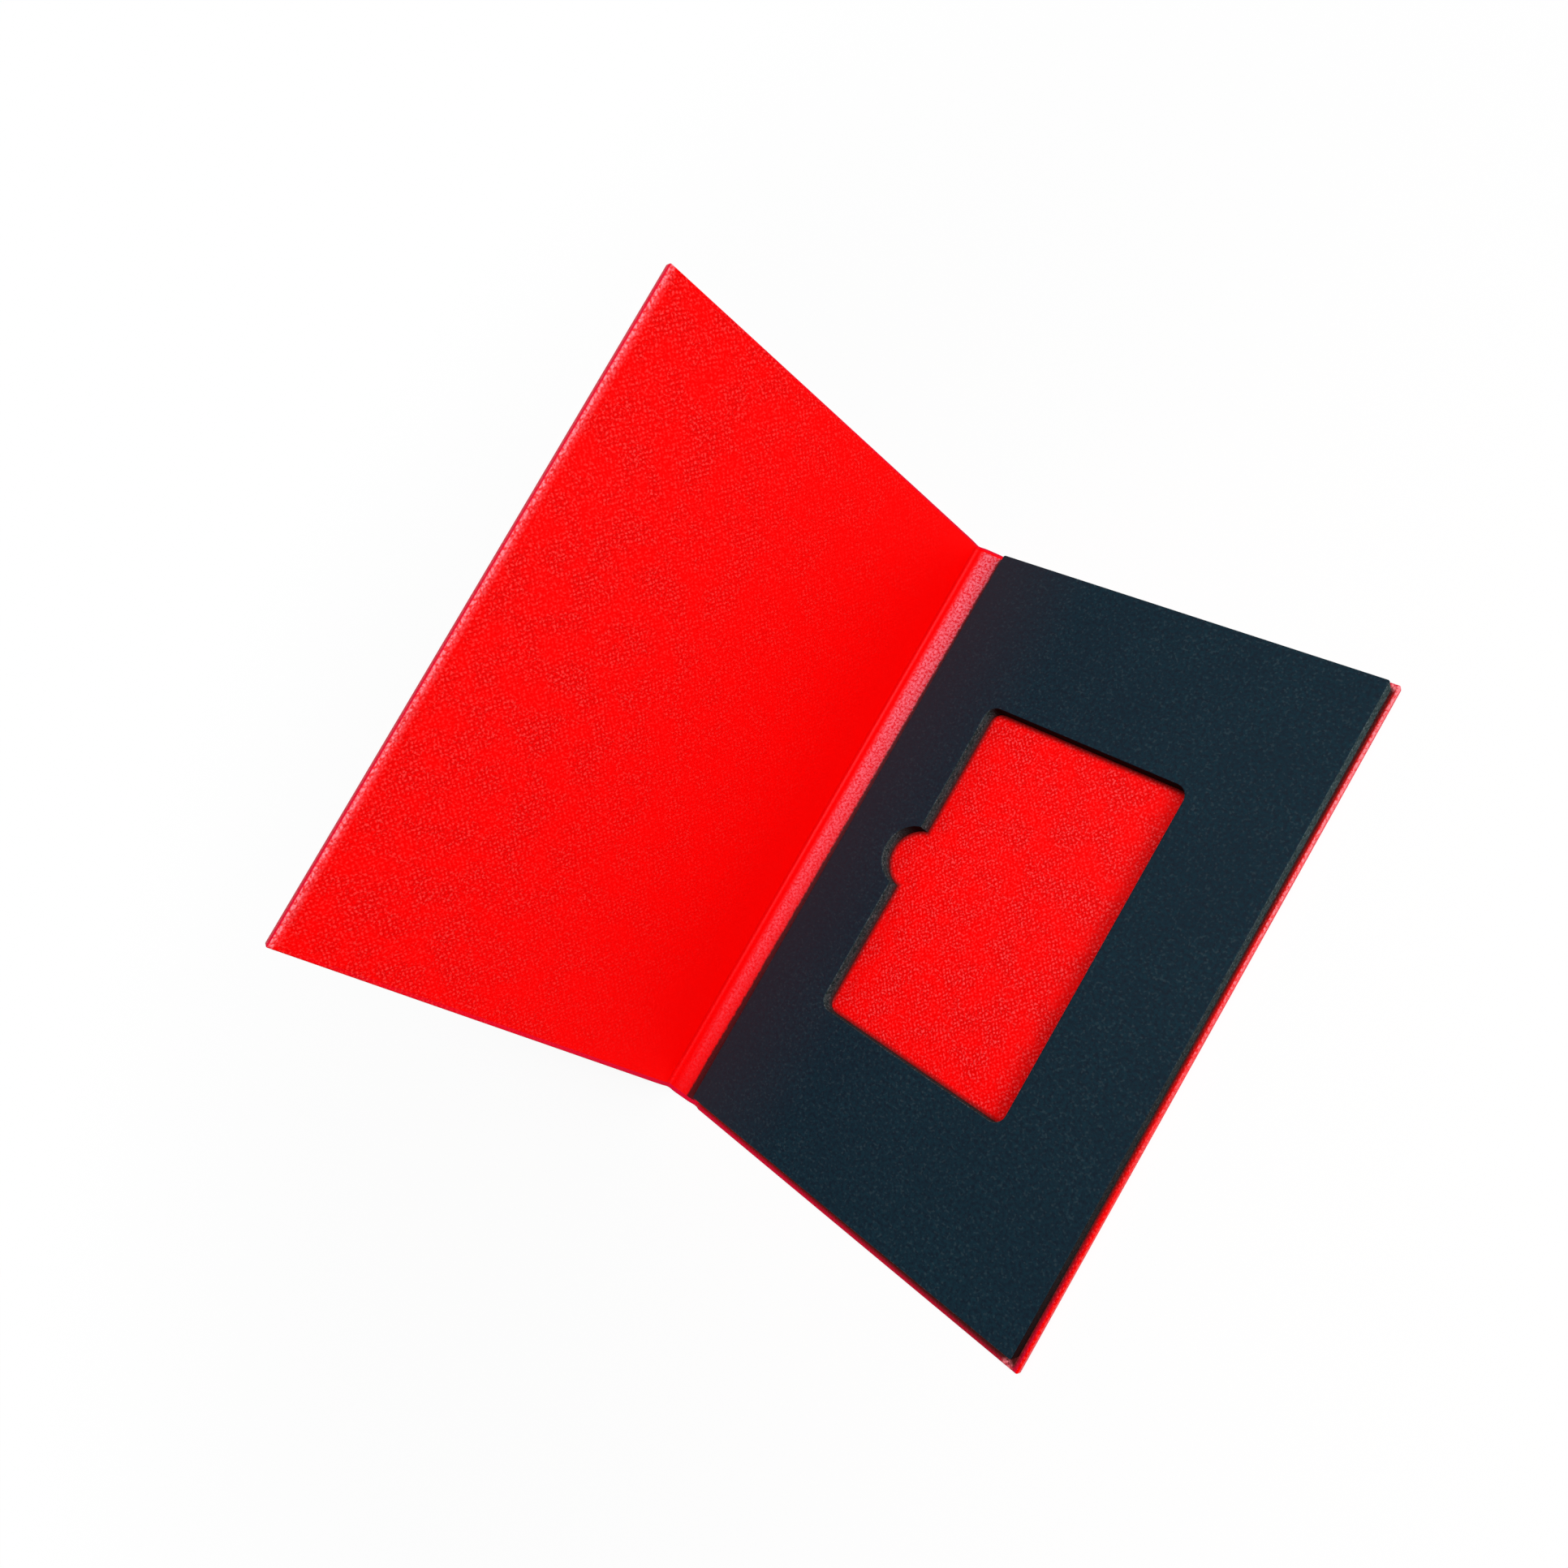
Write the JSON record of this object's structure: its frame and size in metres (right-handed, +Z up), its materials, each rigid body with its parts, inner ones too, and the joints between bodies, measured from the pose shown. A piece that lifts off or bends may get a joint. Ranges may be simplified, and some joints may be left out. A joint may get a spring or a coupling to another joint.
{
  "type": "card folder",
  "caption": "Hard-cover folder with a narrow stiff spine and a windowed insert that holds one card, with a thumb notch.",
  "frame": {"origin": "centre of the back cover's underside, between its crease line and its outer edge", "axes": "+X from the spine to the back cover's outer edge, +Y along the spine, +Z up out of the back cover's inner face"},
  "size_m": [0.1531, 0.1686, 0.103],
  "materials": {
    "wrap_back": "satin",
    "wrap_spine": "satin",
    "wrap_front": "satin",
    "lining_back": "satin",
    "lining_spine": "satin",
    "lining_front": "satin",
    "greyboard_back": "matte",
    "greyboard_spine": "matte",
    "greyboard_front": "matte",
    "insert_black": "matte"
  },
  "bodies": {
    "back_cover": {"outer_wrap_back": "wrap_back", "back_board": "greyboard_back", "lining_back": "lining_back", "card_insert": "insert_black"},
    "spine": {"outer_wrap_spine": "wrap_spine", "spine_board": "greyboard_spine", "lining_spine": "lining_spine"},
    "front_cover": {"outer_wrap_front": "wrap_front", "front_board": "greyboard_front", "lining_front": "lining_front"}
  },
  "joints": [
    {"name": "back_crease", "type": "hinge", "parent": "back_cover", "child": "spine", "pos_m": [-0.05325, 0, 0.00013], "axis": [0, 1, 0], "range_deg": [-14.5, 75.5]},
    {"name": "front_crease", "type": "hinge", "parent": "spine", "child": "front_cover", "pos_m": [-0.0625, 0, 0.00252], "axis": [0, 1, 0], "range_deg": [-55, 35]}
  ]
}
